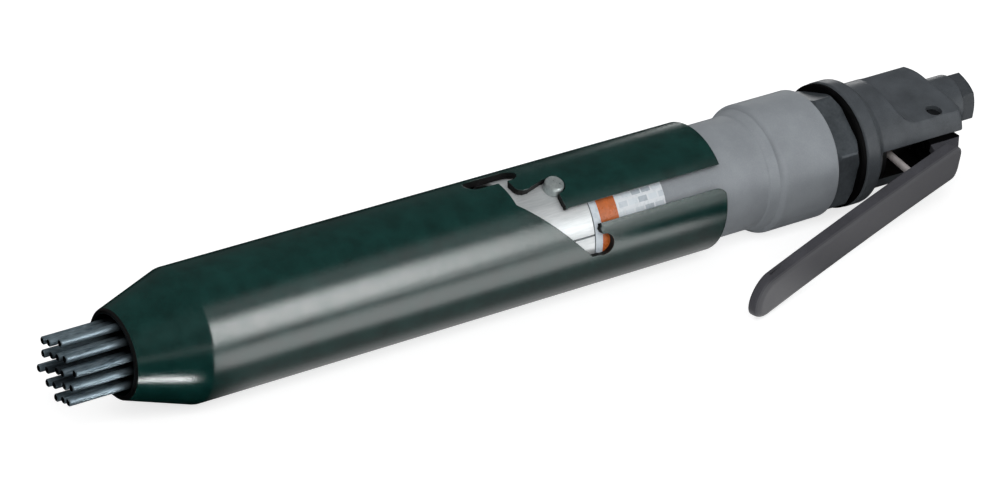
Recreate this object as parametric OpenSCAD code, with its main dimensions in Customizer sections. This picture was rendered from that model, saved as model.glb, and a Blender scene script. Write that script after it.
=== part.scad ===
// Air needle scaler, straight pattern, lying on its side as on a bench.
// Sizes are in millimetres. Each piece is drawn in the tool's own frame: X runs along the
// tool towards the air inlet, 0 is the front face of the barrel, and the lever hangs to -Z.
// The placing module then turns the tool onto its side and sets it on the bench.
// An angle round the axis counts from the lever side (-Z) towards -Y.

/* [Nose tube] */
// Outside diameter of the nose tube
tube_od = 50.8; // [48:0.2:53]
// Wall of the nose tube
tube_wall = 2.6; // [2:0.1:3]
// Length of the nose tube from its mouth to its rear rim
tube_len = 255.3; // [250:0.5:262]
// Gap between the rear rim and the barrel's thick ring
rim_gap = 25.8; // [18:0.5:30]
// Length of the cone at the mouth
cone_len = 25.8; // [20:0.2:32]
// Gap between the outermost needles and the mouth
mouth_gap = 1.3; // [0.8:0.1:1.8]
// Wall of the tube at the mouth
mouth_wall = 1.7; // [1.2:0.1:2.2]

/* [Bayonet window] */
// Width of the entry slot and of the round notches
slot_w = 8.6; // [8.2:0.1:9]
// Place along the tool of the latch lug
lug_x = 13.9; // [12:0.1:16]
// Angle of the latch lug from the lever side
lug_angle = 77.8; // [74:0.2:82]
// Diameter of the latch lug
lug_d = 7.6; // [7:0.1:7.8]
// Angle of the entry slot
entry_angle = 43.3; // [41:0.1:46]
// Angle from the lug back to the second notch
notch_turn = 64; // [60:0.5:66]
// Distance between two settings of the tube
setting_pitch = 13.1; // [12:0.1:14]
// Angle from the lug on to the closed slot
far_turn = 28.9; // [28:0.1:32]
// Length between the end centres of the closed slot
far_slot_len = 14; // [10:0.5:18]
// Reach of the closed slot's front centre in front of the lug
far_reach = 27.7; // [26:0.1:29]
// Reach of the window in front of the lug
window_reach = 19.7; // [18:0.1:21]
// Lean of the window's slanting front edge
diagonal_lean = 44.5; // [40:0.5:46]
// Radius of the small reliefs at the window's inner corners
relief_r = 1.4; // [1:0.1:1.6]
// Radius of the entry slot's corner at the rim
rim_corner = 5; // [3:0.5:6]

/* [Needles] */
// Diameter of a needle
needle_d = 3; // [2:0.1:3.2]
// Distance between neighbouring needles
needle_pitch = 6.1; // [5.8:0.1:6.2]
// Length of a needle
needle_len = 177.5; // [172:0.5:180]
// Diameter of a needle's head
needle_head_d = 4.8; // [4.2:0.1:5.1]
// Length of a needle's head
needle_head_len = 2.6; // [2:0.1:3.2]
// Longest difference between two needles' tips
needle_uneven = 2; // [0.5:0.1:2.2]
// Free play of the needle heads in the holder
needle_play = 4; // [3.8:0.1:5]
// Thickness of the needle holder
holder_t = 14; // [12:0.5:18]

/* [Needle spring] */
// Wire of the needle spring
spring_wire = 2.8; // [2:0.1:3.2]
// Mean diameter of the needle spring
spring_mean_d = 38; // [34:0.5:40]
// Turns of the needle spring
spring_turns = 11; // [8:1:13]
// Thickness of the front guide that the spring rests on
seat_t = 4; // [3:0.5:6]

/* [Barrel] */
// Length of the barrel from its front face to its thick ring
neck_len = 111; // [109:0.5:116]
// Outside diameter of the barrel inside the tube
neck_d = 45; // [43:0.2:45]
// Outside diameter of the barrel's thick ring
ring_d = 51.2; // [50:0.2:53]
// Length of the thick ring
ring_len = 28.5; // [24:0.5:34]
// Rounding of the thick ring's front edge
ring_round = 3; // [1:0.1:3]
// Bore of the barrel
bore_d = 27; // [25:0.1:28]
// Diameter of the threaded rear end
spigot_d = 34; // [33:0.2:35]
// Length of the threaded rear end
spigot_len = 24; // [22:0.5:24.2]
// Length of the latch sleeve
sleeve_len = 29; // [27:0.5:34]
// Reach of the latch sleeve in front of the barrel
sleeve_reach = 4.5; // [3:0.5:7]
// Wall of the latch sleeve
sleeve_wall = 1.1; // [0.8:0.1:1.2]

/* [Hammer] */
// Length of the piston
piston_len = 52; // [44:1:56]
// Stroke of the piston
stroke = 34; // [26:1:36]
// Air left behind the piston at the end of its stroke
rear_cushion = 8; // [1:0.5:8]
// Diameter of the anvil's shank
anvil_shank_d = 16; // [14:0.5:18]
// Length of the anvil's shank
anvil_shank_len = 40; // [38:0.5:42]
// Thickness of the anvil's head
anvil_head_t = 6; // [4:0.5:8]
// Diameter of the anvil's head
anvil_head_d = 34; // [30:0.5:36]
// Length of the anvil bushing inside the barrel
bushing_len = 25; // [20:0.5:28]
// Thickness of the anvil bushing's collar
bushing_collar_t = 3; // [2:0.5:4]
// Thickness of the rubber bumper
bumper_t = 3; // [2:0.5:4]

/* [Valve set] */
// Thickness of the valve cage
cage_t = 12; // [10:0.5:14]
// Diameter of the valve disc
disc_d = 17; // [15:0.5:18]
// Thickness of the valve disc
disc_t = 1.2; // [1:0.1:1.6]
// Lift of the valve disc
disc_lift = 0.8; // [0.5:0.1:1.1]
// Outside diameter of the valve set
valve_set_d = 29; // [28.4:0.1:29.4]

/* [Lock ring] */
// Width of the lock ring across its flats
lock_af = 43.4; // [42:0.2:44]
// Length of the lock ring
lock_len = 12; // [10:0.5:14]
// Diameter over the turned corners of the lock ring
lock_corner_d = 49.6; // [48:0.2:50]
// Turn of the lock ring's hexagon
lock_turn = 28; // [0:1:60]
// Thickness of the rubber seal behind the lock ring
seal_t = 2.4; // [2:0.1:3]
// Outside diameter of the rubber seal
seal_d = 50; // [46:0.2:50.2]

/* [Throttle body] */
// Outside diameter of the flange
flange_d = 50.4; // [49:0.2:52]
// Length of the flange
flange_len = 7.6; // [5:0.2:9]
// Diameter of the body just behind the flange
body_front_d = 43; // [41:0.2:43.4]
// Diameter of the body at its rear
body_rear_d = 43.2; // [42:0.2:45]
// Rounding of the body's upper rear corner, seen from the side
body_round = 13; // [8:0.5:16]
// Length of the throttle body
body_len = 52.1; // [51:0.1:56]
// Distance between the flats at the sides
flat_w = 27.4; // [26:0.2:29]
// Start of the flats behind the body's front face
flat_start = 19.5; // [18:0.5:24]
// Radius of the cutter that mills the flats
flat_runout = 10; // [8:0.5:13]
// Width of the channel that holds the lever
channel_w = 13; // [12.8:0.2:13.8]
// Depth from the axis to the channel's roof
channel_roof = 11; // [10.6:0.1:12]
// Height of the inlet above the axis
inlet_rise = 5.2; // [4.6:0.1:5.6]

/* [Throttle lever] */
// Width of the lever
lever_w = 18.4; // [17:0.2:20]
// Length of the lever along its curve
lever_len = 141; // [132:1:146]
// Radius of the lever's rear corners
lever_corner = 6.6; // [4:0.2:6.6]
// Depth of the lever's turned-up sides
lever_depth = 4.4; // [4:0.1:5.6]
// Sheet of the lever
lever_sheet = 2; // [1.6:0.1:2.4]
// Slope of the lever at its rear end
lever_slope = 17; // [16.4:0.1:17.6]
// Radius of the lever's long curve
lever_curve = 3400; // [2400:100:5000]
// Travel of the lever when it is pressed
lever_travel = 12; // [8:0.5:12]
// Distance of the lever's side edge below its pin
lever_hang = 13.6; // [12.6:0.1:14.6]
// Distance of the lever's rear end in front of the body's rear face
lever_inset = 10.5; // [9.5:0.5:12]
// Distance of the lever pin in front of the body's rear face
pin_inset = 11.3; // [10.6:0.1:12]
// Diameter of the lever pin
pin_d = 5; // [4:0.1:5.2]
// Depth of the lever pin below the axis
pin_drop = 12.9; // [12.4:0.1:13.3]
// Diameter of the recesses round the pin's ends
recess_d = 6.6; // [6:0.2:7]
// Depth of the pin's ends below the flats
pin_recess = 1.2; // [0.6:0.1:2]

/* [Throttle valve] */
// Diameter of the valve plunger
plunger_d = 3; // [2.4:0.1:3.2]
// Bore of the valve chamber
chamber_d = 12.4; // [12:0.1:12.6]
// Distance of the plunger in front of the lever pin
plunger_arm = 21.4; // [20.8:0.1:22]
// Diameter of the throttle valve
valve_d = 10.4; // [9.4:0.1:11]
// Depth of the valve seat below the axis
seat_drop = 1; // [0.5:0.1:1.5]
// Thickness of the throttle valve
valve_t = 3; // [2.4:0.1:3.4]
// Mean diameter of the valve spring
valve_spring_d = 7.2; // [6.6:0.1:7.8]
// Wire of the valve spring
valve_wire = 0.7; // [0.5:0.05:0.8]
// Turns of the valve spring
valve_turns = 5; // [4:1:5]
// Room left over the spring's closed coils when the valve is fully open
spring_room = 3.4; // [3:0.1:4]

/* [Air inlet] */
// Width of the inlet bushing's hexagon across its flats
inlet_af = 19; // [18:0.5:20]
// Length of the round boss behind the body
boss_len = 13.4; // [9:0.2:14]
// Diameter of the round boss
boss_d = 21.6; // [20.4:0.2:22.2]
// Length of the bushing's stem inside the boss
inlet_stem_len = 15; // [14:0.5:16]
// Diameter of the bushing's stem
inlet_stem_d = 17; // [16.4:0.1:17.4]
// Turn of the bushing's hexagon
inlet_turn = 43; // [0:1:60]
// Length of the inlet bushing's hexagon
inlet_hex_len = 7.1; // [6:0.1:12]
// Tapping size of the quarter inch pipe thread
inlet_bore_d = 11.1; // [10.8:0.1:11.6]
// Depth of the inlet thread
inlet_thread_len = 15; // [12:0.5:16]

/* [Clearances] */
// Radial room of the latch lug in its round notch
lug_room = 0.45; // [0.35:0.05:0.5]
// Radial clearance of a running fit
run = 0.05; // [0.02:0.01:0.08]
// Clearance of a loose sliding fit
slip = 0.3; // [0.26:0.01:0.4]
// Clearance between parts of one assembly
seat = 0.1; // [0.05:0.01:0.15]

/* [Hidden] */
NEEDLES = 19;
needle_names = [for (i = [1:NEEDLES]) str("needle_", i < 10 ? "0" : "", i)];
$fn = 96;
far = 400;
eps = 0.02;

// Stations along the tool
ring_front = neck_len;
ring_rear = ring_front + ring_len;
lock_rear = ring_rear + lock_len;
body_front = lock_rear + seal_t;
body_rear = body_front + body_len;
tube_rear = ring_front - rim_gap;
tube_mouth = tube_rear - tube_len;
shoulder_x = tube_mouth + cone_len;
guide_x = shoulder_x + 1.2;
sleeve_front = -sleeve_reach;
sleeve_rear = sleeve_front + sleeve_len;
bumper_front = -bushing_collar_t - seat - bumper_t;
anvil_front = bumper_front - seat - anvil_head_t;
holder_rear = anvil_front - seat;
holder_front = holder_rear - holder_t;
head_floor = holder_rear - needle_play - needle_head_len;
spigot_rear = ring_rear + spigot_len;
socket_floor = spigot_rear + slip;

// Radii shared by neighbours
tube_r = tube_od / 2;
tube_bore_r = tube_r - tube_wall;
neck_r = min(neck_d / 2, tube_bore_r - slip);
front_r = neck_r - sleeve_wall;
socket_r = spigot_d / 2 + run;
needle_r = needle_d / 2;

// Lever pin, plunger and inlet
pin_x = body_rear - pin_inset;
pin_r = pin_d / 2;
ear_r = pin_r + 2.8;
plunger_x = pin_x - plunger_arm;
plunger_r = plunger_d / 2;
chamber_r = chamber_d / 2;
seat_z = -seat_drop;
plunger_top = seat_z + valve_t;
chamber_top = plunger_top + plunger_arm * sin(lever_travel) + valve_turns * valve_wire
    + spring_room;
boss_rear = body_rear + boss_len;
inlet_end = boss_rear + inlet_hex_len;

// Lever curve: its sides' edge passes this point at the rear, and bends about a far centre
lever_edge_x = body_rear - lever_inset;
lever_edge_z = -pin_drop - lever_hang;
lever_cx = lever_edge_x + lever_curve * sin(lever_slope);
lever_cz = lever_edge_z - lever_curve * cos(lever_slope);
lever_tip_slope = lever_slope + (lever_len - lever_w / 2) / lever_curve * 180 / PI;
lever_back_r = lever_curve - lever_depth;
lever_face_r = lever_back_r + lever_sheet;
function floor_z(x) = lever_cz + sqrt(pow(lever_face_r, 2) - pow(lever_cx - x, 2));

// The lever's tip disc reaches furthest from the axis and touches the bench
tip_reach = -(lever_cz + lever_back_r * cos(lever_tip_slope));
side_lean = asin(ring_d / 2 / norm([tip_reach, lever_w / 2])) - atan(lever_w / 2 / tip_reach);

// The bundle of needles fills a hexagon with two rings round the middle one
bundle_r = 2 * needle_pitch + needle_r;

// The placed tool has its origin at the middle of its box, on the bench
tip_x = head_floor + needle_head_len + seat - needle_len;
mid_x = (tip_x + inlet_end) / 2;
tip_swing = norm([sin(lever_tip_slope) * cos(side_lean), sin(side_lean)]);
lever_y = tip_reach * cos(side_lean) + lever_w / 2 * tip_swing;
mid_y = (ring_d / 2 - lever_y) / 2;

module place() {
    translate([-mid_x, -mid_y, ring_d / 2]) rotate([side_lean - 90, 0, 0]) children();
}

// Turns a shape drawn towards -Z to an angle round the axis
module around(angle) {
    rotate([-angle, 0, 0]) children();
}

// A solid of revolution about the tool's axis, from [station, radius] points
module turned(points) {
    rotate([0, 90, 0]) rotate([0, 0, 180]) rotate_extrude()
        polygon([for (p = points) [p[1], p[0]]]);
}

// A plain ring about the tool's axis
module ring(x0, x1, outer, inner = 0) {
    turned([[x0, inner], [x1, inner], [x1, outer], [x0, outer]]);
}

// A round pin or hole along the radius at an angle, from one radius to another
module radial(x, angle, r, from, to) {
    around(angle) translate([x, 0, -to]) cylinder(r = r, h = to - from);
}

// Points on an arc, as [x, y] pairs
function arc(cx, cy, r, from, to, steps) =
    [for (i = [0:steps]) [cx + r * cos(from + (to - from) * i / steps),
                          cy + r * sin(from + (to - from) * i / steps)]];

// A wound spring along +X: one tube of six sides along a helix
function frame_point(t, r, turns, length, wire, side) =
    let (a = 360 * turns * t,
         lead = length / turns / 360,
         slope = atan(lead * 180 / PI / r),
         b = 60 * side,
         out = wire / 2 * cos(b),
         up = wire / 2 * sin(b))
    [length * t + up * cos(slope),
     (r + out) * cos(a) + up * sin(slope) * sin(a),
     (r + out) * sin(a) - up * sin(slope) * cos(a)];

module wound(x0, length, mean_r, wire, turns) {
    rings = turns * 8;
    wound_len = length - wire;
    points = [for (i = [0:rings]) for (j = [0:5])
        frame_point(i / rings, mean_r, turns, wound_len, wire, j)];
    sides = [for (i = [0:rings - 1]) for (j = [0:5])
        let (a = i * 6 + j, b = i * 6 + (j + 1) % 6) each [[a, b, b + 6], [a, b + 6, a + 6]]];
    first = [for (j = [1:4]) [0, j + 1, j]];
    last = [for (j = [1:4]) [rings * 6, rings * 6 + j, rings * 6 + j + 1]];
    // Least gap between neighbouring turns, measured on the points
    echo(spring_gap = min([for (i = [0:rings - 8]) for (j = [0:5]) for (k = [0:5])
        norm(points[i * 6 + j] - points[(i + 8) * 6 + k])]));
    translate([x0 + wire / 2, 0, 0]) polyhedron(points, concat(sides, first, last));
}

// The bayonet window is cut in strips, each square to the tube's surface at its middle.
// A station is [angle, front edge, rear edge].
diagonal_x = lug_x - window_reach;
diagonal_angle = lug_angle - 9.5;
function diagonal(angle) =
    diagonal_x + max(0, diagonal_angle - angle) * tan(diagonal_lean) * tube_r * PI / 180;
slot_half = asin(slot_w / 2 / tube_r);
notch_angle = lug_angle - notch_turn;
notch_x = lug_x + setting_pitch;
far_angle = lug_angle + far_turn;
window = [
    [notch_angle - slot_half + 1, diagonal(notch_angle - slot_half + 1), notch_x],
    [notch_angle + slot_half, diagonal(notch_angle + slot_half), notch_x - 0.5],
    [entry_angle - slot_half, diagonal(entry_angle - slot_half), notch_x - 2.2],
    [entry_angle + slot_half, diagonal(entry_angle + slot_half), lug_x - 0.6],
    [diagonal_angle, diagonal_x, lug_x - 0.5]
];
// The lug's pocket, and the lead along its front edge to the closed slot
pocket = [
    [diagonal_angle - 2, diagonal_x + 3, lug_x - 0.5],
    [lug_angle + 2, diagonal_x + 3, lug_x]
];
lead = [
    [diagonal_angle, diagonal_x, lug_x - 15.6],
    [far_angle - slot_half + 2, diagonal_x, lug_x - 15.6]
];

// The way round the hook, from the lug's pocket to the closed slot, as [station, angle] points
// on the plane square to the tube at the hook
hook_angle = lug_angle + 5;
hook = [
    [diagonal_x + 1.5, 1], [lug_x + 0.4, 1], [lug_x + 0.4, 8.6], [lug_x - 3.4, 8.6],
    [lug_x - 4.8, 7.3], [lug_x - 9.1, 4.5], [lug_x - 11, 3], [lug_x - 13.2, 3],
    [lug_x - 14.8, 5], [lug_x - 16.4, 10], [diagonal_x + 1.5, 10]
];

module window_strip(a, b) {
    mid = (a[0] + b[0]) / 2;
    half = (b[0] - a[0]) / 2;
    side = tube_r * sin(half) + eps;
    around(mid) translate([0, 0, -tube_r - 2]) linear_extrude(tube_wall + 6)
        polygon([[a[1], side], [a[2], side], [b[2], -side], [b[1], -side]]);
}

module window_cut() {
    for (edges = [window, pocket, lead]) for (i = [0:len(edges) - 2])
        window_strip(edges[i], edges[i + 1]);
    around(hook_angle) translate([0, 0, -tube_r - 2]) linear_extrude(tube_wall + 6)
        polygon([for (p = hook) [p[0], tube_r * sin(hook_angle - lug_angle - p[1])]]);
    // Round notches for the lug
    radial(lug_x, lug_angle, lug_d / 2 + lug_room, tube_bore_r - 3, tube_r + 2);
    radial(notch_x, notch_angle, slot_w / 2, tube_bore_r - 3, tube_r + 2);
    // Closed slot on the far side
    far_x = lug_x - far_reach;
    for (x = [far_x, far_x + far_slot_len])
        radial(x, far_angle, slot_w / 2, tube_bore_r - 3, tube_r + 2);
    around(far_angle) translate([far_x, -slot_w / 2, -tube_r - 2])
        cube([far_slot_len, slot_w, tube_wall + 4]);
    // Entry slot, open at the rim, and the small reliefs at its inner corners
    around(entry_angle) translate([lug_x, -slot_w / 2, -tube_r - 2])
        cube([tube_rear - lug_x + 1, slot_w, tube_wall + 4]);
    radial(notch_x - 2.1, entry_angle - 11.7, relief_r, tube_bore_r - 3, tube_r + 2);
    radial(lug_x - 1.7, entry_angle + 12.7, relief_r, tube_bore_r - 3, tube_r + 2);
    // Rounded corner of the entry slot at the rim
    rim_round();
}

module rim_round() {
    r = rim_corner;
    around(entry_angle) translate([tube_rear - r, slot_w / 2 + r, -tube_r - 2])
        difference() {
            translate([0, -r - 1, 0]) cube([r + 1, r + 1, tube_wall + 4]);
            translate([0, 0, -1]) cylinder(r = r, h = tube_wall + 6);
        }
}

module nose_tube() {
    bore_mouth_r = bundle_r + mouth_gap;
    mouth_r = bore_mouth_r + mouth_wall;
    place() color("#22302f") difference() {
        turned(concat(
            [[tube_mouth, bore_mouth_r], [shoulder_x + 0.8, tube_bore_r],
             [tube_rear - 0.4, tube_bore_r], [tube_rear, tube_bore_r + 0.4],
             [tube_rear, tube_r - 0.6], [tube_rear - 0.6, tube_r]],
            arc(shoulder_x + 1.6, tube_r - 5, 5, 90, 109.4, 4),
            [[tube_mouth + 0.7, mouth_r + 0.2], [tube_mouth, mouth_r - 0.5]]));
        window_cut();
    }
}

module spring_seat() {
    place() color("#6d7276") ring(guide_x, guide_x + seat_t, tube_bore_r - slip,
        bundle_r + mouth_gap);
}

module needle_spring() {
    x0 = guide_x + seat_t + seat;
    place() color("#5b6064") wound(x0, holder_front - seat - x0, spring_mean_d / 2, spring_wire,
        spring_turns);
}

// Places of the needles: one in the middle, six and twelve round it
function hex_spot(i) = i == 0 ? [0, 0] :
    i <= 6 ? needle_pitch * [cos(60 * i), sin(60 * i)] :
    i % 2 == 1 ? 2 * needle_pitch * [cos(30 * (i - 7)), sin(30 * (i - 7))] :
    sqrt(3) * needle_pitch * [cos(30 * (i - 7)), sin(30 * (i - 7))];

// Each needle lies a little further back than the last one's, in a fixed order
function needle_back(i) = needle_uneven * ((i * 0.618) % 1);

module needle(i) {
    spot = hex_spot(i - 1);
    rear = head_floor + needle_back(i) + needle_head_len + seat;
    tip = rear - needle_len;
    place() color("#6b7f90") translate([0, spot[0], spot[1]]) turned([[tip, 0],
        [tip, needle_r - 0.3], [tip + 0.3, needle_r], [rear - needle_head_len - 0.8, needle_r],
        [rear - needle_head_len, needle_head_d / 2 - 0.4], [rear - needle_head_len, needle_head_d / 2],
        [rear, needle_head_d / 2], [rear, 0]]);
}

module needle_holder() {
    r = tube_bore_r - slip;
    place() color("#7b8084") difference() {
        turned([[holder_front, 0], [holder_front, r - 1], [holder_front + 1, r],
            [holder_rear - 1, r], [holder_rear, r - 1], [holder_rear, 0]]);
        for (i = [0:NEEDLES - 1]) translate([0, hex_spot(i)[0], hex_spot(i)[1]]) {
            ring(holder_front - 1, holder_rear + 1, needle_r + run);
            ring(head_floor - 0.9, holder_rear + 1, needle_head_d / 2 + 0.1);
        }
    }
}

module anvil() {
    r = anvil_shank_d / 2;
    place() color("#8b8f92") turned([[anvil_front, 0], [anvil_front, anvil_head_d / 2 - 1],
        [anvil_front + 1, anvil_head_d / 2], [anvil_front + anvil_head_t, anvil_head_d / 2],
        [anvil_front + anvil_head_t, r], [anvil_front + anvil_head_t + anvil_shank_len - 1, r],
        [anvil_front + anvil_head_t + anvil_shank_len, r - 1],
        [anvil_front + anvil_head_t + anvil_shank_len, 0]]);
}

module anvil_bumper() {
    place() color("#1c1c1e") ring(bumper_front, bumper_front + bumper_t, anvil_head_d / 2 - 0.5,
        anvil_shank_d / 2 + 0.6);
}

module anvil_bushing() {
    outer = bore_d / 2 + 1.5;
    place() color("#9c7b45") difference() {
        union() {
            ring(-bushing_collar_t, 0, front_r - 2, 0);
            ring(0, bushing_len, outer - run, 0);
        }
        ring(-bushing_collar_t - 1, bushing_len + 1, anvil_shank_d / 2 + run);
    }
}

module latch_sleeve() {
    place() color("#d0d0d5") difference() {
        ring(sleeve_front, sleeve_rear, front_r + sleeve_wall, front_r + run);
        // The rolled sheet meets at an open seam
        around(notch_angle + 8.5) translate([sleeve_front - 1, -0.35, -far])
            cube([sleeve_len + 2, 0.7, far]);
        radial(lug_x, lug_angle, 2.6, front_r - 1, tube_r);
    }
}

module latch_lug() {
    r = lug_d / 2;
    base = front_r + sleeve_wall + eps;
    place() color("#b8bec0") around(lug_angle) translate([lug_x, 0, 0]) mirror([0, 0, 1])
        rotate_extrude() polygon(concat([[0, base - 5], [2.5, base - 5], [2.5, base], [r, base]],
            arc(r - 1.2, tube_r - 0.2, 1.2, 0, 70, 4), [[0, tube_r + 1.3]]));
}

module barrel() {
    place() color("#80858a") difference() {
        turned(concat(
            [[0, 0], [0, front_r - 0.5], [0.5, front_r], [sleeve_rear + slip, front_r],
             [sleeve_rear + slip, neck_r - 0.4], [sleeve_rear + slip + 0.4, neck_r]],
            arc(ring_front - 4.6, neck_r + 1.6, 1.6, -90, -45, 3),
            arc(ring_front + ring_round, ring_d / 2 - ring_round, ring_round, 150, 90, 5),
            [[ring_rear - 0.6, ring_d / 2], [ring_rear, ring_d / 2 - 0.6],
             [ring_rear, spigot_d / 2], [spigot_rear, spigot_d / 2], [spigot_rear, 0]]));
        ring(-1, bushing_len + seat, bore_d / 2 + 1.5);
        ring(-1, far, bore_d / 2);
        ring(valve_front, far, valve_set_d / 2 + run);
        radial(lug_x, lug_angle, 2.6, front_r - 4.4, tube_r);
    }
}

// Hammer and valve set along the bore
piston_front = anvil_front + anvil_head_t + anvil_shank_len + seat;
valve_front = piston_front + piston_len + stroke + rear_cushion;
cage_rear = valve_front + cage_t;
disc_front = cage_rear - disc_t - disc_lift - 1;

module piston() {
    r = bore_d / 2 - run;
    rear = piston_front + piston_len;
    nose_r = anvil_shank_d / 2 - 0.5;
    place() color("#a3a8ab") difference() {
        turned([[piston_front, 0], [piston_front, nose_r - 0.5], [piston_front + 0.5, nose_r],
            [piston_front + 5, nose_r], [piston_front + 7, r], [rear - 1, r], [rear, r - 1],
            [rear, 0]]);
        // Two oil grooves
        for (x = [0.35, 0.75]) translate([piston_front + piston_len * x, 0, 0])
            ring(-0.8, 0.8, r + 1, r - 0.6);
        // Hollow rear
        ring(rear - 12, rear + 1, 6);
    }
}

module valve_cage() {
    place() color("#9aa0a3") difference() {
        ring(valve_front, cage_rear, valve_set_d / 2);
        ring(valve_front - 1, cage_rear + 1, 4);
        ring(disc_front - 0.1, cage_rear + 1, disc_d / 2 + 0.3);
        dowel_hole();
    }
}

module dowel_hole() {
    translate([cage_rear - 3.1, 0, 11.6]) rotate([0, 90, 0]) cylinder(r = 1.3, h = 6.2);
}

module valve_dowel() {
    place() color("#c4c8ca") translate([cage_rear - 3, 0, 11.6]) rotate([0, 90, 0])
        cylinder(r = 1.25, h = 6);
}

module valve_disc() {
    place() color("#3f4346") ring(disc_front, disc_front + disc_t, disc_d / 2, 2.2);
}

module valve_cap() {
    place() color("#9aa0a3") difference() {
        ring(cage_rear, spigot_rear, valve_set_d / 2);
        ring(cage_rear + 5, far, valve_set_d / 2 - 3);
        for (i = [0:5]) rotate([60 * i + 30, 0, 0]) translate([cage_rear - 1, 0, 6])
            rotate([0, 90, 0]) cylinder(r = 1.4, h = 8);
        dowel_hole();
    }
}

module lock_ring() {
    r = lock_corner_d / 2;
    chamfer = 2;
    place() color("#3a3e42") difference() {
        intersection() {
            around(lock_turn) rotate([0, 90, 0]) translate([0, 0, ring_rear])
                cylinder(r = lock_af / sqrt(3), h = lock_len, $fn = 6);
            turned([[ring_rear, 0], [ring_rear, r - chamfer], [ring_rear + chamfer, r],
                [lock_rear - chamfer, r], [lock_rear, r - chamfer], [lock_rear, 0]]);
        }
        ring(ring_rear - 1, lock_rear + 1, socket_r);
    }
}

module body_seal() {
    r = seal_d / 2;
    place() color("#121213") turned([[lock_rear + eps, socket_r + 0.1],
        [body_front - eps, socket_r + 0.1], [body_front - eps, r - 0.6],
        [body_front - 0.6, r], [lock_rear + 0.6, r], [lock_rear + eps, r - 0.6]]);
}

module throttle_body() {
    flange_r = flange_d / 2;
    front_radius = body_front_d / 2;
    rear_radius = body_rear_d / 2;
    step = flange_r - front_radius;
    flange_round = 1.8;
    place() color("#45484c") difference() {
        union() {
            intersection() {
                turned(concat([[body_front, 0], [body_front, flange_r - 0.7],
                    [body_front + 0.7, flange_r]],
                    arc(body_front + flange_len - flange_round, flange_r - flange_round,
                        flange_round, 90, 20, 4),
                    arc(body_front + flange_len + step, flange_r - flange_round,
                        step - flange_round, 200, 270, 5),
                    arc(body_rear - 2, rear_radius - 2, 2, 90, 0, 4), [[body_rear, 0]]));
                // The upper rear corner is rounded off, as seen from the side
                body_side();
            }
            translate([body_rear - 8, 0, inlet_rise]) ring(0, 8 + boss_len, boss_d / 2);
        }
        side_flat();
        mirror([0, 1, 0]) side_flat();
        // Socket for the barrel
        ring(body_front - 1, socket_floor, socket_r);
        // Channel for the lever
        translate([socket_floor + 2.6, -channel_w / 2, -far]) cube([far, channel_w,
            far - channel_roof]);
        translate([pin_x - ear_r - 1.5, -channel_w / 2, -far]) cube([far, channel_w,
            far - pin_drop + ear_r + 0.8]);
        // Lever pin and the recesses at its ends
        across(pin_r + run, far);
        for (s = [0, 1]) mirror([0, s, 0]) translate([0, (flat_w + far) / 2 - pin_recess - 1.6, 0])
            across(recess_d / 2, far);
        // Air inlet, valve chamber and the way to the barrel
        translate([boss_rear - inlet_stem_len - 0.5, 0, inlet_rise]) ring(0, far,
            inlet_stem_d / 2 + run);
        translate([plunger_x, 0, inlet_rise]) ring(0, far, 5.2);
        translate([plunger_x, 0, -far]) cylinder(r = chamber_r, h = far + chamber_top);
        translate([socket_floor - 1, 0, -5.5]) ring(0, plunger_x - socket_floor, 2.2);
    }
}

// A flat at one side, with the curved runout that its cutter leaves
module side_flat() {
    x0 = body_front + flat_start + flat_runout;
    y0 = flat_w / 2;
    translate([0, 0, -far / 2]) linear_extrude(far) polygon(concat(
        [[far, far], [x0 - flat_runout, far]],
        arc(x0, y0 + flat_runout, flat_runout, 180, 270, 8), [[far, y0]]));
}

// A round bar through the lever pin's place
module across(r, length) {
    translate([pin_x, -length / 2, -pin_drop]) rotate([-90, 0, 0]) cylinder(r = r, h = length);
}

module body_side() {
    r = body_round;
    top = body_rear_d / 2;
    translate([0, far / 2, 0]) rotate([90, 0, 0]) linear_extrude(far)
        polygon(concat([[body_front, -far], [body_rear, -far]],
            arc(body_rear - r, top - r, r, 0, 84, 8), [[body_front, top + 8]]));
}

// The lever's section across its width: a shallow tray with rounded lower edges.
// Heights count from the back of the lever towards the tool.
function tray_half(w, depth) = concat([[0, 0]], arc(w - 3, 3, 3, -90, 0, 6), [[w, depth], [0, depth]]);

module tray(w, depth) {
    polygon(tray_half(w, depth));
    mirror([1, 0]) polygon(tray_half(w, depth));
}

// Sweeps a section along the lever's curve from one slope to another
module along_curve(from, to, lift) {
    translate([lever_cx, 0, lever_cz]) rotate([90, 0, 0]) rotate([0, 0, 90 + from])
        rotate_extrude(angle = to - from, $fn = 360)
        translate([lever_back_r + lift, 0]) rotate(-90) mirror([1, 0]) children();
}

// Puts a shape at a place on the lever's curve, its Z away from the lever's back
module at_slope(slope, lift) {
    translate([lever_cx, 0, lever_cz]) rotate([0, -slope, 0])
        translate([0, 0, lever_back_r + lift]) children();
}

module lever_shape(w, depth, lift) {
    overlap = 0.05 / lever_curve * 180 / PI;
    along_curve(lever_slope, lever_tip_slope + overlap, lift) tray(w, depth);
    at_slope(lever_tip_slope, lift) rotate([0, 0, 90]) rotate_extrude(angle = 180)
        polygon(tray_half(w, depth));
}

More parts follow.
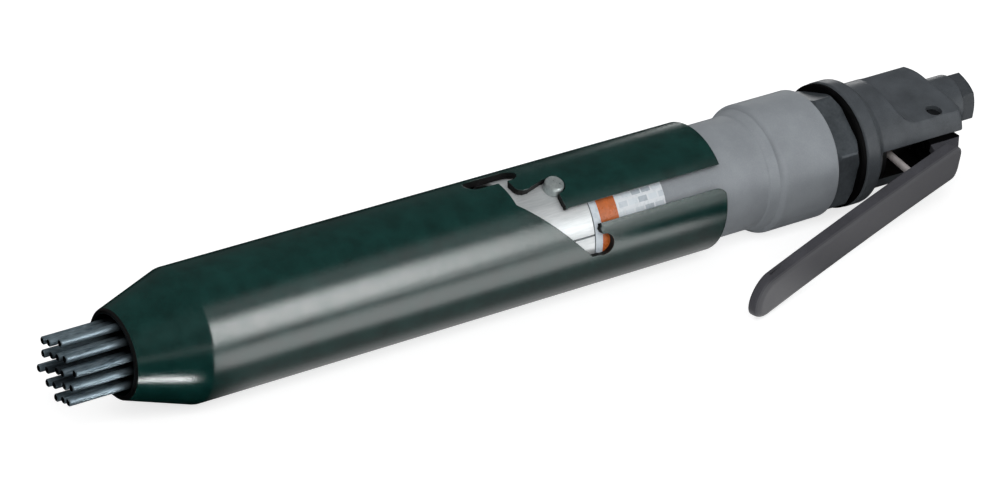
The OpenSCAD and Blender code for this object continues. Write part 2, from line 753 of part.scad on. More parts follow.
module throttle_lever() {
    w = lever_w / 2;
    ear_in = 3.2;
    ear_out = channel_w / 2 - slip;
    ear_front = pin_x - ear_r - 6;
    ear_rear = pin_x + ear_r;
    place() color("#4a4a4c") difference() {
        union() {
            difference() {
                lever_shape(w, lever_depth, 0);
                lever_shape(w - lever_sheet, lever_depth + 1, lever_sheet);
                rear_corner(w);
                mirror([0, 1, 0]) rear_corner(w);
            }
            // Two ears reach up into the channel and turn on the pin
            for (y = [ear_out, -ear_in]) translate([0, y, 0]) rotate([90, 0, 0])
                linear_extrude(ear_out - ear_in) {
                    translate([pin_x, -pin_drop]) circle(r = ear_r);
                    polygon([[pin_x - ear_r, -pin_drop], [ear_front, floor_z(ear_front) - 1],
                        [lever_edge_x - 0.5, floor_z(lever_edge_x - 0.5) - 1],
                        [ear_rear + 1.5, lever_edge_z + 3.5], [ear_rear, -pin_drop]]);
                }
        }
        across(pin_r + run, far);
    }
}

// Cuts one corner of the lever's rear end round
module rear_corner(w) {
    at_slope(lever_slope, 0) translate([-lever_corner, w - lever_corner, -1]) difference() {
        cube([lever_corner + 1, lever_corner + 1, lever_depth + 2]);
        translate([0, 0, -1]) cylinder(r = lever_corner, h = lever_depth + 4);
    }
}

module lever_pin() {
    place() color("#55595c") across(pin_r, flat_w - 2 * pin_recess);
}

module upright(z0, z1, r) {
    translate([plunger_x, 0, z0]) cylinder(r = r, h = z1 - z0);
}

groove_z = -channel_roof + 1.4;
groove_h = 1.8;

module valve_seat() {
    place() color("#b08d4a") difference() {
        upright(-channel_roof, seat_z, chamber_r - run);
        upright(-far, far, plunger_r + run);
        upright(groove_z, groove_z + groove_h, plunger_r + 1.5);
        upright(-channel_roof + 4, far, valve_d / 2 - 1.6);
        for (a = [0:90:270]) translate([plunger_x, 0, -5.5]) rotate([0, 0, a]) rotate([0, 90, 0])
            cylinder(r = 1.4, h = chamber_d);
    }
}

module plunger_seal() {
    place() color("#1a1a1b") difference() {
        upright(groove_z + 0.1, groove_z + groove_h - 0.1, plunger_r + 1.4);
        upright(-far, far, plunger_r + run);
    }
}

module throttle_valve() {
    place() color("#2c2f31") difference() {
        union() {
            upright(seat_z, seat_z + valve_t, valve_d / 2);
            upright(seat_z + valve_t, seat_z + valve_t + 1.2, 2.2);
        }
        upright(-far, seat_z + valve_t, plunger_r);
    }
}

// The plunger's foot stands just clear of the lever's floor
plunger_foot = floor_z(plunger_x) + slip + run;

module valve_plunger() {
    place() color("#d5d7d8") translate([plunger_x, 0, 0]) rotate_extrude()
        polygon(concat([[0, plunger_top]], [[0, plunger_foot]],
            arc(plunger_r - 0.9, plunger_foot + 0.9, 0.9, -90, 0, 4), [[plunger_r, plunger_top]]));
}

module valve_spring() {
    z0 = plunger_top + seat;
    place() color("#8f9498") translate([plunger_x, 0, z0]) rotate([0, -90, 0])
        wound(0, chamber_top - seat - z0, valve_spring_d / 2, valve_wire, valve_turns);
}

module inlet_bushing() {
    hex_r = inlet_af / sqrt(3);
    chamfer = 2.4;
    place() color("#3c3f42") translate([boss_rear, 0, inlet_rise]) difference() {
        union() {
            intersection() {
                around(inlet_turn) rotate([0, 90, 0]) cylinder(r = hex_r, h = inlet_hex_len, $fn = 6);
                turned([[0, 0], [0, hex_r - 0.8], [0.8, hex_r],
                    [inlet_hex_len - chamfer / 2, hex_r], [inlet_hex_len, hex_r - chamfer],
                    [inlet_hex_len, 0]]);
            }
            ring(-inlet_stem_len, 0, inlet_stem_d / 2);
        }
        ring(-far, far, 4);
        ring(inlet_hex_len - inlet_thread_len, far, inlet_bore_d / 2);
        ring(-inlet_stem_len - 1, -inlet_stem_len + 5, 6.2);
    }
}

module inlet_seal() {
    place() color("#1a1a1b") translate([boss_rear, 0, inlet_rise])
        ring(-inlet_stem_len - 0.45, -inlet_stem_len - eps, inlet_stem_d / 2 - 0.1, 6.4);
}

module inlet_screen() {
    x = boss_rear - inlet_stem_len;
    place() color("#b9a066") translate([x, 0, inlet_rise]) difference() {
        ring(0.2, 4.8, 6.1, 0);
        ring(1, 6, 5.4);
        for (i = [-2:2]) for (j = [-2:2]) if (i * i + j * j < 6)
            translate([-1, i * 2, j * 2]) rotate([0, 90, 0]) cylinder(r = 0.6, h = 4);
    }
}

nose_tube();
spring_seat();
needle_spring();
needle_holder();
for (i = [1:NEEDLES]) needle(i);
anvil();
anvil_bumper();
anvil_bushing();
latch_sleeve();
latch_lug();
barrel();
piston();
valve_cage();
valve_disc();
valve_cap();
valve_dowel();
lock_ring();
body_seal();
throttle_body();
throttle_lever();
lever_pin();
valve_seat();
throttle_valve();
valve_plunger();
plunger_seal();
valve_spring();
inlet_bushing();
inlet_seal();
inlet_screen();
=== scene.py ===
from math import atan2, cos, pi, radians, sin

import bpy
import numpy as np
from mathutils import Matrix, Vector


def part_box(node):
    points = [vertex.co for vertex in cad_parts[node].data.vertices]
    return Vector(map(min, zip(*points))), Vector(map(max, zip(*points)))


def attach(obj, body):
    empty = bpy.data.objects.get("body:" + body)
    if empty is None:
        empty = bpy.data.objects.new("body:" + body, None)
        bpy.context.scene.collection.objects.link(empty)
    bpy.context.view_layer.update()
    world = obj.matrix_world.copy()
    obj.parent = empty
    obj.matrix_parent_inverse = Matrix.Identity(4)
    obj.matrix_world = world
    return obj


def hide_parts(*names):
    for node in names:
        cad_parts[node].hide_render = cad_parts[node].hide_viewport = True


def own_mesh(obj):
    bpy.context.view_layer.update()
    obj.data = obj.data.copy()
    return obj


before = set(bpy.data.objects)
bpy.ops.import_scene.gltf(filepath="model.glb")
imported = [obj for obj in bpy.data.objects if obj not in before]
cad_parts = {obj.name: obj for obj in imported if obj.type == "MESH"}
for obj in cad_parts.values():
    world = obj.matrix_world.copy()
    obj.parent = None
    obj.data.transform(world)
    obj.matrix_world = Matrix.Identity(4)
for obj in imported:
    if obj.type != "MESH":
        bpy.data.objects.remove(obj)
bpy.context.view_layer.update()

# Camera
# The tool lies on a table and is seen from its left front, from a little above, with a long
# lens: the picture's middle falls on the tool's axis, ahead of the barrel's front.
VIEW_TURN = radians(35.1)
VIEW_HEIGHT = radians(24.7)
VIEW_DISTANCE = 1.578
SENSOR_WIDTH = 36
LENS = 152.28
NEAREST_SEEN = 0.05
LOOK_AHEAD = 0.0194
LOOK_BELOW = 0.00056

barrel_low, barrel_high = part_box("barrel")
axis_y = (barrel_low.y + barrel_high.y) / 2
axis_z = (barrel_low.z + barrel_high.z) / 2
ahead = Vector((sin(VIEW_TURN) * cos(VIEW_HEIGHT), cos(VIEW_TURN) * cos(VIEW_HEIGHT),
                -sin(VIEW_HEIGHT)))
right = Vector((cos(VIEW_TURN), -sin(VIEW_TURN), 0))
upward = right.cross(ahead)
look_at = Vector((-LOOK_AHEAD, axis_y, axis_z)) - LOOK_BELOW * upward

lens = bpy.data.cameras.new("camera")
lens.sensor_width = SENSOR_WIDTH
lens.lens = LENS
lens.clip_start = NEAREST_SEEN
camera = bpy.data.objects.new("camera", lens)
bpy.context.scene.collection.objects.link(camera)
camera.matrix_world = Matrix.Translation(look_at - VIEW_DISTANCE * ahead) @ Matrix(
    (right, upward, -ahead)).transposed().to_4x4()
bpy.context.scene.camera = camera
bpy.context.scene.view_settings.view_transform = "Standard"


# Table and studio light
# A plain pale table top in a dim room. Only polished pieces see its painted reflection:
# bright stripes in front of the tool, darker bands of painted shadow next to it, and a short
# streak of painted highlight. Four narrow lights draw the gloss of the tube and of the lock
# ring and nothing else, and two large soft ones light the colours.
TABLE_COLOUR = "#c4c4c4"
TABLE_ROUGHNESS = 0.9
TABLE_REACH = 6.0
TABLE_GLOW = 0.74
BOUNCE = 0.3
ROOM_COLOUR = "#fbfcfd"
ROOM_LEVEL = 0.3
ROOM_MIRRORED = 0.07
# Stripes of painted reflection along the tool, the dim bands nearest the axis being painted
# shadow of the tool: how far each edge lies in front of the axis and how bright it is there,
# with their level and the places where they begin and end along the tool
STRIPES = ((0.0, 0.0), (0.003, 0.26), (0.017, 0.26), (0.023, 0.11), (0.04, 0.12),
           (0.048, 1.0), (0.1, 1.0), (0.12, 0.08), (0.3, 0.1), (0.36, 0.5))
STRIPES_REACH = 0.4
STRIPES_LEVEL = 2.35
STRIPES_LEFT = (-0.155, -0.135)
STRIPES_RIGHT = (0.1, 0.07)
# An even area of painted reflection past a slanting edge at the right, and the streak, a
# painted highlight: its middle and half length along the tool, and the same across it
PLAIN_LEVEL = 0.95
PLAIN_FROM = (0.035, 0.055)
PLAIN_RIGHT = (0.165, 0.195)
STREAK_LEVEL = 22.0
STREAK_ALONG = (-0.178, 0.0108)
STREAK_ACROSS = (0.0362, 0.0022)
# Sockets of a Mix node that mixes colours
MIX_FIRST = 6
MIX_SECOND = 7
MIX_RESULT = 2


def linear(colour):
    """Linear red, green, blue and 1 from an sRGB hex colour."""
    parts = np.array([int(colour[i:i + 2], 16) for i in (1, 3, 5)]) / 255
    straight = np.where(parts <= 0.04045, parts / 12.92, ((parts + 0.055) / 1.055) ** 2.4)
    return (*(float(part) for part in straight), 1.0)


def give(tree, node, inputs):
    """Sets a node's inputs. Each is a value, a node for a link from its first output, or
    (node, output) for a link from another output."""
    for name, value in inputs.items():
        source = value if isinstance(value, tuple) else (value, 0)
        if isinstance(source[0], bpy.types.Node):
            tree.links.new(source[0].outputs[source[1]], node.inputs[name])
        else:
            node.inputs[name].default_value = value


def add(tree, kind, inputs=None, **settings):
    """Adds one node with its settings and its inputs."""
    node = tree.nodes.new("ShaderNode" + kind)
    for name, value in settings.items():
        setattr(node, name, value)
    give(tree, node, inputs or {})
    return node


def split(tree, source="Object"):
    """X, Y and Z of a point in the part's frame, or of the surface's direction there, where
    source is Normal."""
    return add(tree, "SeparateXYZ", {"Vector": (add(tree, "TexCoord"), source)})


def piece(name, points, faces, smooth=True):
    """A new object at the origin whose mesh has these points and faces."""
    mesh = bpy.data.meshes.new(name)
    mesh.from_pydata(np.asarray(points, float).reshape(-1, 3).tolist(), [],
                     [list(map(int, face)) for face in faces])
    mesh.polygons.foreach_set("use_smooth", np.full(len(mesh.polygons), smooth))
    mesh.update()
    made = bpy.data.objects.new(name, mesh)
    bpy.context.scene.collection.objects.link(made)
    return made


def soft_light(name, turn, height, distance, size, power, mirrored):
    """A soft light that faces the tool, at a turn round it and a height, in degrees. Where
    mirrored is true only the gloss shows it, and elsewhere it lights the colours alone."""
    lamp = bpy.data.lights.new(name, "AREA")
    lamp.shape = "RECTANGLE"
    lamp.size, lamp.size_y = size
    lamp.energy = power
    out = Vector((-sin(radians(turn)) * cos(radians(height)),
                  -cos(radians(turn)) * cos(radians(height)), sin(radians(height))))
    made = bpy.data.objects.new(name, lamp)
    bpy.context.scene.collection.objects.link(made)
    made.location = look_at + out * distance
    made.rotation_mode = "QUATERNION"
    made.rotation_quaternion = (-out).to_track_quat("-Z", "Y")
    made.visible_glossy = mirrored
    made.visible_diffuse = not mirrored


table_top = bpy.data.materials.new("pale_laminate")
table_top.use_nodes = True
tree = table_top.node_tree
seen = add(tree, "LightPath")
mirrored = add(tree, "Math", {0: (seen, "Is Glossy Ray"), 1: (seen, "Is Transmission Ray")},
               operation="MAXIMUM")
place = split(tree)
in_front = add(tree, "Math", {0: axis_y, 1: (place, "Y")}, operation="SUBTRACT")

# The stripes, between their two ends
reach = add(tree, "Math", {0: in_front, 1: STRIPES_REACH}, operation="DIVIDE")
stripes = add(tree, "ValToRGB", {"Fac": reach})
marks = stripes.color_ramp.elements
for edge, _ in STRIPES[1:-1]:
    marks.new(edge / STRIPES_REACH)
for mark, (edge, brightness) in zip(marks, STRIPES):
    mark.position = edge / STRIPES_REACH
    mark.color = (brightness, brightness, brightness, 1.0)
left_end = add(tree, "MapRange", {"Value": (place, "X"), "From Min": STRIPES_LEFT[0],
                                  "From Max": STRIPES_LEFT[1], "To Max": STRIPES_LEVEL})
right_end = add(tree, "MapRange", {"Value": (place, "X"), "From Min": STRIPES_RIGHT[0],
                                   "From Max": STRIPES_RIGHT[1]})
between = add(tree, "Math", {0: left_end, 1: right_end}, operation="MULTIPLY")
striped = add(tree, "Math", {0: stripes, 1: between}, operation="MULTIPLY")

# The even area at the right, and the streak
aslant = add(tree, "Math", {0: (place, "X"), 1: in_front}, operation="ADD")
plain_right = add(tree, "MapRange", {"Value": aslant, "From Min": PLAIN_RIGHT[0],
                                     "From Max": PLAIN_RIGHT[1], "To Max": PLAIN_LEVEL})
plain_front = add(tree, "MapRange", {"Value": in_front, "From Min": PLAIN_FROM[0],
                                     "From Max": PLAIN_FROM[1]})
pattern = add(tree, "Math", {0: plain_right, 1: plain_front, 2: striped},
              operation="MULTIPLY_ADD")
streak_along = add(tree, "Math", {0: (place, "X"), 1: STREAK_ALONG[0], 2: STREAK_ALONG[1]},
                   operation="COMPARE")
streak_across = add(tree, "Math", {0: in_front, 1: STREAK_ACROSS[0], 2: STREAK_ACROSS[1]},
                    operation="COMPARE")
streak = add(tree, "Math", {0: streak_along, 1: streak_across}, operation="MULTIPLY")
streaked = add(tree, "Math", {0: streak, 1: STREAK_LEVEL, 2: pattern},
               operation="MULTIPLY_ADD")

# Polished surfaces see that pattern as painted reflection, dull ones a little of the glow,
# and the camera all of it
painted_reflection = add(tree, "Math", {0: mirrored, 1: streaked}, operation="MULTIPLY")
bounced = add(tree, "Math", {0: (seen, "Is Diffuse Ray"), 1: BOUNCE, 2: painted_reflection},
              operation="MULTIPLY_ADD")
seen_at_all = add(tree, "Math", {0: (seen, "Is Camera Ray"), 1: bounced},
                  operation="MAXIMUM")
glow = add(tree, "Math", {0: seen_at_all, 1: TABLE_GLOW}, operation="MULTIPLY")
# To polished pieces the table's own colour is black, so they see the painted reflection alone
top = add(tree, "Mix", {0: mirrored, MIX_FIRST: linear(TABLE_COLOUR),
                        MIX_SECOND: linear("#000000")}, data_type="RGBA")
give(tree, tree.nodes["Principled BSDF"],
     {"Base Color": (top, MIX_RESULT), "Roughness": TABLE_ROUGHNESS,
      "Emission Color": linear("#ffffff"), "Emission Strength": glow})
table = piece("table", [(-TABLE_REACH, -TABLE_REACH, 0), (TABLE_REACH, -TABLE_REACH, 0),
                        (TABLE_REACH, TABLE_REACH, 0), (-TABLE_REACH, TABLE_REACH, 0)],
              [(0, 1, 2, 3)], smooth=False)
table.data.materials.append(table_top)

room = bpy.data.worlds.new("room")
room.use_nodes = True
tree = room.node_tree
seen = add(tree, "LightPath")
level = add(tree, "MapRange", {"Value": (seen, "Is Glossy Ray"), "To Min": ROOM_LEVEL,
                               "To Max": ROOM_MIRRORED})
shown = add(tree, "Math", {0: level, 1: (seen, "Is Camera Ray")}, operation="MAXIMUM")
give(tree, tree.nodes["Background"], {"Color": linear(ROOM_COLOUR), "Strength": shown})
bpy.context.scene.world = room

# The tube's band, its faded upper side and its foot, and the lock ring's top facet
soft_light("band_light", turn=-25, height=16.2, distance=1.2, size=(0.3, 0.57), power=3.3,
           mirrored=True)
soft_light("band_fade", turn=-36, height=44, distance=1.2, size=(0.4, 0.4), power=0.25,
           mirrored=True)
soft_light("band_foot", turn=-21.8, height=1, distance=1.2, size=(0.2, 0.12), power=0.45,
           mirrored=True)
soft_light("ring_light", turn=-137, height=3, distance=1.2, size=(0.22, 0.4), power=0.5,
           mirrored=True)
# The colours, from the front and from behind
soft_light("front_fill", turn=15, height=42, distance=1.6, size=(1.5, 1.0), power=15.5,
           mirrored=False)
soft_light("back_fill", turn=200, height=60, distance=1.8, size=(1.6, 1.2), power=7.5,
           mirrored=False)


# Nose tube
# Seamless steel tube with a swaged cone, its bayonet window milled through the wall, finished
# in dark green-black baked enamel whose fine grain breaks the highlight into specks.
TUBE_SHADES = ("#002622", "#073b36")
TUBE_GRAIN = 0.55
# Near-black painted shade for the cut walls, the bore and the mouth's lip
CUT_PAINTED_SHADE = "#030404"
WALL_DEPTH = 0.0003
CONE_LENGTH = 0.031
LIP_LENGTH = 0.0007
# How a finish mixes its fine grain with its broad patches, and what part of that mixture
# takes it from one shade to the other and from its smoothest to its roughest
PATCH_DETAIL = 4.0
PATCH_ROUGHNESS = 0.6
GRAIN_DETAIL = 3.0
GRAIN_SHARE = 0.6
TINT_RANGE = (0.55, 1.05)
ROUGH_RANGE = (0.5, 1.1)
EDGE_SAMPLES = 4


def finish(name, dark, light, metallic, roughness, grain, depth, patch, edge=0.25,
           stretch=(1, 1, 1), spread=0.08, **sockets):
    """A surface between two shades: broad patches and a fine grain tint it and vary its
    roughness, the grain also dents it, and every edge is eased by a small radius. The
    sizes are in millimetres, and stretch scales the pattern along each axis. Real grain
    is some 0.05 mm wide, too fine to show, so it is drawn six times as coarse or more."""
    made = bpy.data.materials.new(name)
    made.use_nodes = True
    tree = made.node_tree
    shader = tree.nodes["Principled BSDF"]
    scaled = add(tree, "Mapping", {"Vector": (add(tree, "TexCoord"), "Object"),
                                   "Scale": [1000 * share for share in stretch]})
    patches = add(tree, "TexNoise", {"Vector": scaled, "Scale": 1 / patch,
                                     "Detail": PATCH_DETAIL, "Roughness": PATCH_ROUGHNESS})
    fine = add(tree, "TexNoise", {"Vector": scaled, "Scale": 1 / grain,
                                  "Detail": GRAIN_DETAIL})
    blend = add(tree, "Math", {0: fine, 1: GRAIN_SHARE, 2: patches},
                operation="MULTIPLY_ADD")
    share = add(tree, "MapRange", {"Value": blend, "From Min": TINT_RANGE[0],
                                   "From Max": TINT_RANGE[1]})
    tint = add(tree, "Mix", {0: share, MIX_FIRST: linear(dark), MIX_SECOND: linear(light)},
               data_type="RGBA")
    rough = add(tree, "MapRange", {"Value": blend, "From Min": ROUGH_RANGE[0],
                                   "From Max": ROUGH_RANGE[1],
                                   "To Min": roughness - spread,
                                   "To Max": roughness + spread})
    eased = add(tree, "Bevel", {"Radius": edge / 1000}, samples=EDGE_SAMPLES)
    bump = add(tree, "Bump", {"Height": fine, "Distance": depth / 1000, "Normal": eased})
    give(tree, shader, {"Base Color": (tint, MIX_RESULT), "Roughness": rough,
                        "Normal": bump, "Metallic": metallic})
    give(tree, shader, {socket.replace("_", " "): value for socket, value in sockets.items()})
    return made


def from_axis(tree):
    """How far a point lies from the tool's axis."""
    parts = split(tree)
    section = add(tree, "CombineXYZ", {"Y": (parts, "Y"), "Z": (parts, "Z")})
    away = add(tree, "VectorMath", {0: section, 1: (0, axis_y, axis_z)},
               operation="DISTANCE")
    return away, "Value"


def where(tree, *tests):
    """A mask: 1 where every test holds and 0 elsewhere, the product of the tests. A test is
    a value, LESS_THAN or GREATER_THAN, and a limit."""
    inside = None
    for value, comparison, limit in tests:
        passed = add(tree, "Math", {0: value, 1: limit}, operation=comparison)
        inside = passed if inside is None else add(tree, "Math", {0: inside, 1: passed},
                                                   operation="MULTIPLY")
    return inside


def shade(material, mask, colour, dull):
    """Turns the masked part of a surface to another colour and adds to its roughness."""
    tree = material.node_tree
    shader = tree.nodes["Principled BSDF"]
    tint = shader.inputs["Base Color"].links[0].from_node
    rough = shader.inputs["Roughness"].links[0].from_node
    mixed = add(tree, "Mix", {0: mask, MIX_FIRST: (tint, MIX_RESULT),
                              MIX_SECOND: linear(colour)}, data_type="RGBA")
    duller = add(tree, "Math", {0: mask, 1: dull, 2: rough}, operation="MULTIPLY_ADD",
                 use_clamp=True)
    give(tree, shader, {"Base Color": (mixed, MIX_RESULT), "Roughness": duller})


def dress(material, *names):
    """Gives these CAD nodes the material."""
    for name in names:
        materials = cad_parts[name].data.materials
        materials.clear()
        materials.append(material)


# Baked enamel: a smooth coat over blasted steel, so the highlight is broad and speckled. The
# walls that the window cuts open, the bore and the mouth's lip get near-black painted shade.
tube_enamel = finish("baked_enamel", *TUBE_SHADES, metallic=0.0, roughness=0.21,
                     grain=TUBE_GRAIN, depth=0.06, patch=9, edge=0.3, spread=0.04, IOR=1.9)
tube_low, tube_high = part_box("nose_tube")
tree = tube_enamel.node_tree
place = split(tree)
shaded_cut_walls = where(
    tree, (from_axis(tree), "LESS_THAN", (tube_high.z - tube_low.z) / 2 - WALL_DEPTH),
    ((place, "X"), "GREATER_THAN", tube_low.x + CONE_LENGTH))
shade(tube_enamel, shaded_cut_walls, CUT_PAINTED_SHADE, dull=0.9)
lip = where(tree, ((place, "X"), "LESS_THAN", tube_low.x + LIP_LENGTH))
shade(tube_enamel, lip, CUT_PAINTED_SHADE, dull=0.3)
dress(tube_enamel, "nose_tube")


# Needle spring and its seat
# Round oil-tempered wire, wound with closed ends, between a turned steel ring in the tube
# and the needle holder.
SPRING_WIRE = 0.0028
SPRING_TURNS = 11
CLOSED_TURNS = 0.9
CLOSED_PITCH = 1.03
WIRE_SIDES = 16
RINGS_PER_TURN = 28
DOME_RADII = (0.35, 0.75)
DOME_HEIGHT = 0.3
NOSE_TRAVEL = 0.009
HOLDER_TRAVEL = 0.005
CUT_SHARE = 0.0004


def tube_faces(rings, sides):
    """Quads between neighbouring rings of points, and one face over each end. They point
    outwards where each ring's points run clockwise, seen along the way from first to last."""
    ring = np.arange(rings - 1)[:, None] * sides
    side = np.arange(sides)[None, :]
    after = (side + 1) % sides
    quads = np.stack([ring + side, ring + after, ring + sides + after, ring + sides + side],
                     -1).reshape(-1, 4)
    first = np.arange(sides)[::-1]
    last = np.arange(sides) + (rings - 1) * sides
    return [*quads, first, last]


def coil(name, start, end, outer_radius, wire, turns, closed, share=(0, 1)):
    """A wound spring, or a share of its turns: the wire's centre runs round the line from
    start to end, slowly in the closed turns at both ends and evenly between them, and a
    circle square to it is carried along as the wire's skin. Smaller circles dome its ends."""
    axis = np.array(end) - np.array(start)
    length = np.linalg.norm(axis)
    axis = axis / length
    side = np.cross(axis, [0, 0, 1.0])
    side = side / np.linalg.norm(side)
    over = np.cross(axis, side)
    steps = round((share[1] - share[0]) * turns * RINGS_PER_TURN)
    turn = turns * np.linspace(*share, steps + 1)
    slow = closed * wire * CLOSED_PITCH
    rise = np.interp(turn, [0, closed, turns - closed, turns],
                     [0, slow, length - wire - slow, length - wire]) + wire / 2
    spoke = np.outer(np.cos(2 * pi * turn), side) + np.outer(np.sin(2 * pi * turn), over)
    centre = np.array(start) + np.outer(rise, axis) + (outer_radius - wire / 2) * spoke
    along = np.gradient(centre, axis=0)
    along = along / np.linalg.norm(along, axis=1)[:, None]
    third = np.cross(along, spoke)
    around = np.arange(WIRE_SIDES) * 2 * pi / WIRE_SIDES
    circle = (np.cos(around)[:, None] * spoke[:, None]
              + np.sin(around)[:, None] * third[:, None])
    dome = np.array(DOME_RADII)[:, None, None]
    height = DOME_HEIGHT * np.sqrt(1 - dome ** 2)
    front = centre[0] + wire / 2 * (dome * circle[0] - height * along[0])
    rear = centre[-1] + wire / 2 * (dome * circle[-1] + height * along[-1])
    skin = np.concatenate([front, centre[:, None] + wire / 2 * circle, rear[::-1]])
    return piece(name, skin, tube_faces(len(skin), WIRE_SIDES))


# Oil-tempered wire: blue-black scale with drawing marks round the wire
spring_wire = finish("oil_tempered_wire", "#2b2f35", "#4d545c", metallic=0.85,
                     roughness=0.36, grain=0.5, depth=0.01, patch=5)
# Turned steel: clean mid-grey metal with fine rings from the lathe
turned_steel = finish("turned_steel", "#74787c", "#a3a8ac", metallic=1.0, roughness=0.3,
                      grain=0.35, depth=0.006, patch=6, stretch=(1, 0.08, 0.08))
dress(turned_steel, "spring_seat", "needle_holder", "anvil", "piston", "valve_cage",
      "valve_cap", "valve_disc", "valve_dowel")

spring_low, spring_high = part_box("needle_spring")
spring_middle = (spring_low.x + spring_high.x) / 2
# The nose and the holder press the spring from its two ends. The front half hangs on the nose
# guide and the rear half on the tool's body, and at the spring's middle the wire goes on from
# one to the other past a hair-thin cut.
for part, share, body, joint, fixed, travel in (
        ("front", (0, 0.5 - CUT_SHARE), "nose_guide", "nose_slide", spring_low.x,
         NOSE_TRAVEL),
        ("rear", (0.5 + CUT_SHARE, 1), "tool_body", "holder_drive", spring_middle,
         HOLDER_TRAVEL)):
    half = coil(f"needle_coil_{part}", (spring_low.x, axis_y, axis_z),
                (spring_high.x, axis_y, axis_z), (spring_high.z - spring_low.z) / 2,
                SPRING_WIRE, SPRING_TURNS, CLOSED_TURNS, share)
    half.data.materials.append(spring_wire)
    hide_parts("needle_spring")
    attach(half, body)
    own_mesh(half)


# Needles
# Nineteen hard-drawn steel needles with headed rear ends, blue-grey from hardening and darker
# on their end faces, with painted shade inside the bundle and painted shadow where they run
# into the tube.
# Colours and ranges for the darker end faces, the painted shade inside the bundle and the
# painted shadow in the tube
END_SHADE = "#0c0f13"
END_FACING = -0.8
INNER_PAINTED_SHADE = "#10161c"
INNER_SHARE = 0.85
BUNDLE_RADIUS = 0.0085
ROOT_PAINTED_SHADOW = "#07090b"
ROOT_SHARE = 0.94
ROOT_FROM = -0.006
ROOT_TO = 0.002

# Hardened wire: blue-grey temper colour, with drawing marks along each needle
needle_wire = finish("hardened_wire", "#566670", "#b4c8d3", metallic=0.75, roughness=0.42,
                     grain=0.8, depth=0.02, patch=4, edge=0.2, stretch=(0.25, 1, 1))
tree = needle_wire.node_tree
ends = where(tree, ((split(tree, "Normal"), "X"), "LESS_THAN", END_FACING))
shade(needle_wire, ends, END_SHADE, dull=0.2)
# Painted shade, deepening towards the bundle's middle
inner_painted_shade = add(tree, "MapRange", {"Value": from_axis(tree), "From Min": BUNDLE_RADIUS,
                               "From Max": BUNDLE_RADIUS / 2, "To Max": INNER_SHARE})
shade(needle_wire, inner_painted_shade, INNER_PAINTED_SHADE, dull=0.1)
# Painted shadow on the needles where they run into the tube
root_painted_shadow = add(tree, "MapRange", {"Value": (split(tree), "X"),
                                "From Min": tube_low.x + ROOT_FROM,
                                "From Max": tube_low.x + ROOT_TO, "To Max": ROOT_SHARE})
shade(needle_wire, root_painted_shadow, ROOT_PAINTED_SHADOW, dull=0.3)
dress(needle_wire, *[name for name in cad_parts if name.startswith("needle_")
                     and name[-2:].isdigit()])


# Anvil's cushion and bushing
# A moulded rubber ring behind the anvil's head, and a bronze bushing that guides the anvil,
# pressed into the barrel's front.

# Nitrile rubber: a deep black that hardly mirrors anything
rubber = finish("nitrile_rubber", "#040405", "#0c0c0d", metallic=0.0, roughness=0.7,
                grain=0.4, depth=0.02, patch=5, Specular_IOR_Level=0.1)
dress(rubber, "anvil_bumper", "body_seal", "plunger_seal", "inlet_seal")
# Cast bronze: brown-gold metal with rings where it was turned
bronze = finish("cast_bronze", "#7d5c2c", "#a98344", metallic=1.0, roughness=0.36,
                grain=0.4, depth=0.01, patch=6, stretch=(1, 0.1, 0.1))
dress(bronze, "anvil_bushing", "valve_seat")


# Latch sleeve and lug
# Bright stainless sheet rolled round the barrel's front to an open seam, and a round steel
# lug that stands through it into the window.

# Rolled stainless sheet: almost white metal with faint marks along the grain of the rolling
sheet_steel = finish("rolled_stainless", "#ccd1d2", "#e9eced", metallic=0.45,
                     roughness=0.33, grain=0.5, depth=0.003, patch=7, stretch=(0.1, 1, 1),
                     spread=0.04)
dress(sheet_steel, "latch_sleeve")
# Machined steel: pale grey metal whose edge is worn round
lug_steel = finish("machined_lug_steel", "#a3adad", "#ccd4d3", metallic=0.6, roughness=0.33,
                   grain=0.6, depth=0.02, patch=3, edge=0.4)
dress(lug_steel, "latch_lug")


# Barrel and its decal
# Turned steel barrel with a thick ring at its rear. A printed vinyl label is wrapped round
# its front and glued down: a white margin, an orange band and a panel of pale and grey
# blocks.
NECK_RADIUS = 0.0225
LABEL_GAP = 0.0004
LABEL_LENGTH = 0.0335
LABEL_TURN = (radians(-32), radians(98))
LABEL_STEPS = 96
LABEL_THICK = 0.00006
LABEL_GLUE = 0.00001
LABEL_MARGIN = 0.0032
LABEL_ORANGE = 0.0115
# Blocks are counted per metre: one is 4.6 mm long and 1.7 mm high, with gaps of 0.35 mm
BLOCK_SCALE = 260.0
BLOCK_LENGTH = 1.2
BLOCK_HEIGHT = 0.45
BLOCK_BORDER = 0.09
BLOCK_BIAS = -0.3
BLOCK_SHARE = 0.65
WEAR_SCALE = 700.0
WEAR_DETAIL = 2.0

# Satin plating: an even pale grey with a soft sheen
barrel_plate = finish("satin_plating", "#8a8f94", "#9da2a7", metallic=0.1, roughness=0.5,
                      grain=0.35, depth=0.006, patch=16, edge=0.35, Specular_IOR_Level=0.25)
dress(barrel_plate, "barrel")

plunger_low, plunger_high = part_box("valve_plunger")
plunger_middle = (plunger_low + plunger_high) / 2
lean = atan2(axis_z - plunger_middle.z, axis_y - plunger_middle.y)


def on_tool(along, angle, radius):
    """Points on a cylinder round the tool's axis: along it, at an angle that starts at the
    lever's side and turns over the side that faces up, and at a radius."""
    turn = np.asarray(angle) - lean
    return np.stack(np.broadcast_arrays(along, axis_y - radius * np.cos(turn),
                                        axis_z + radius * np.sin(turn)), -1)


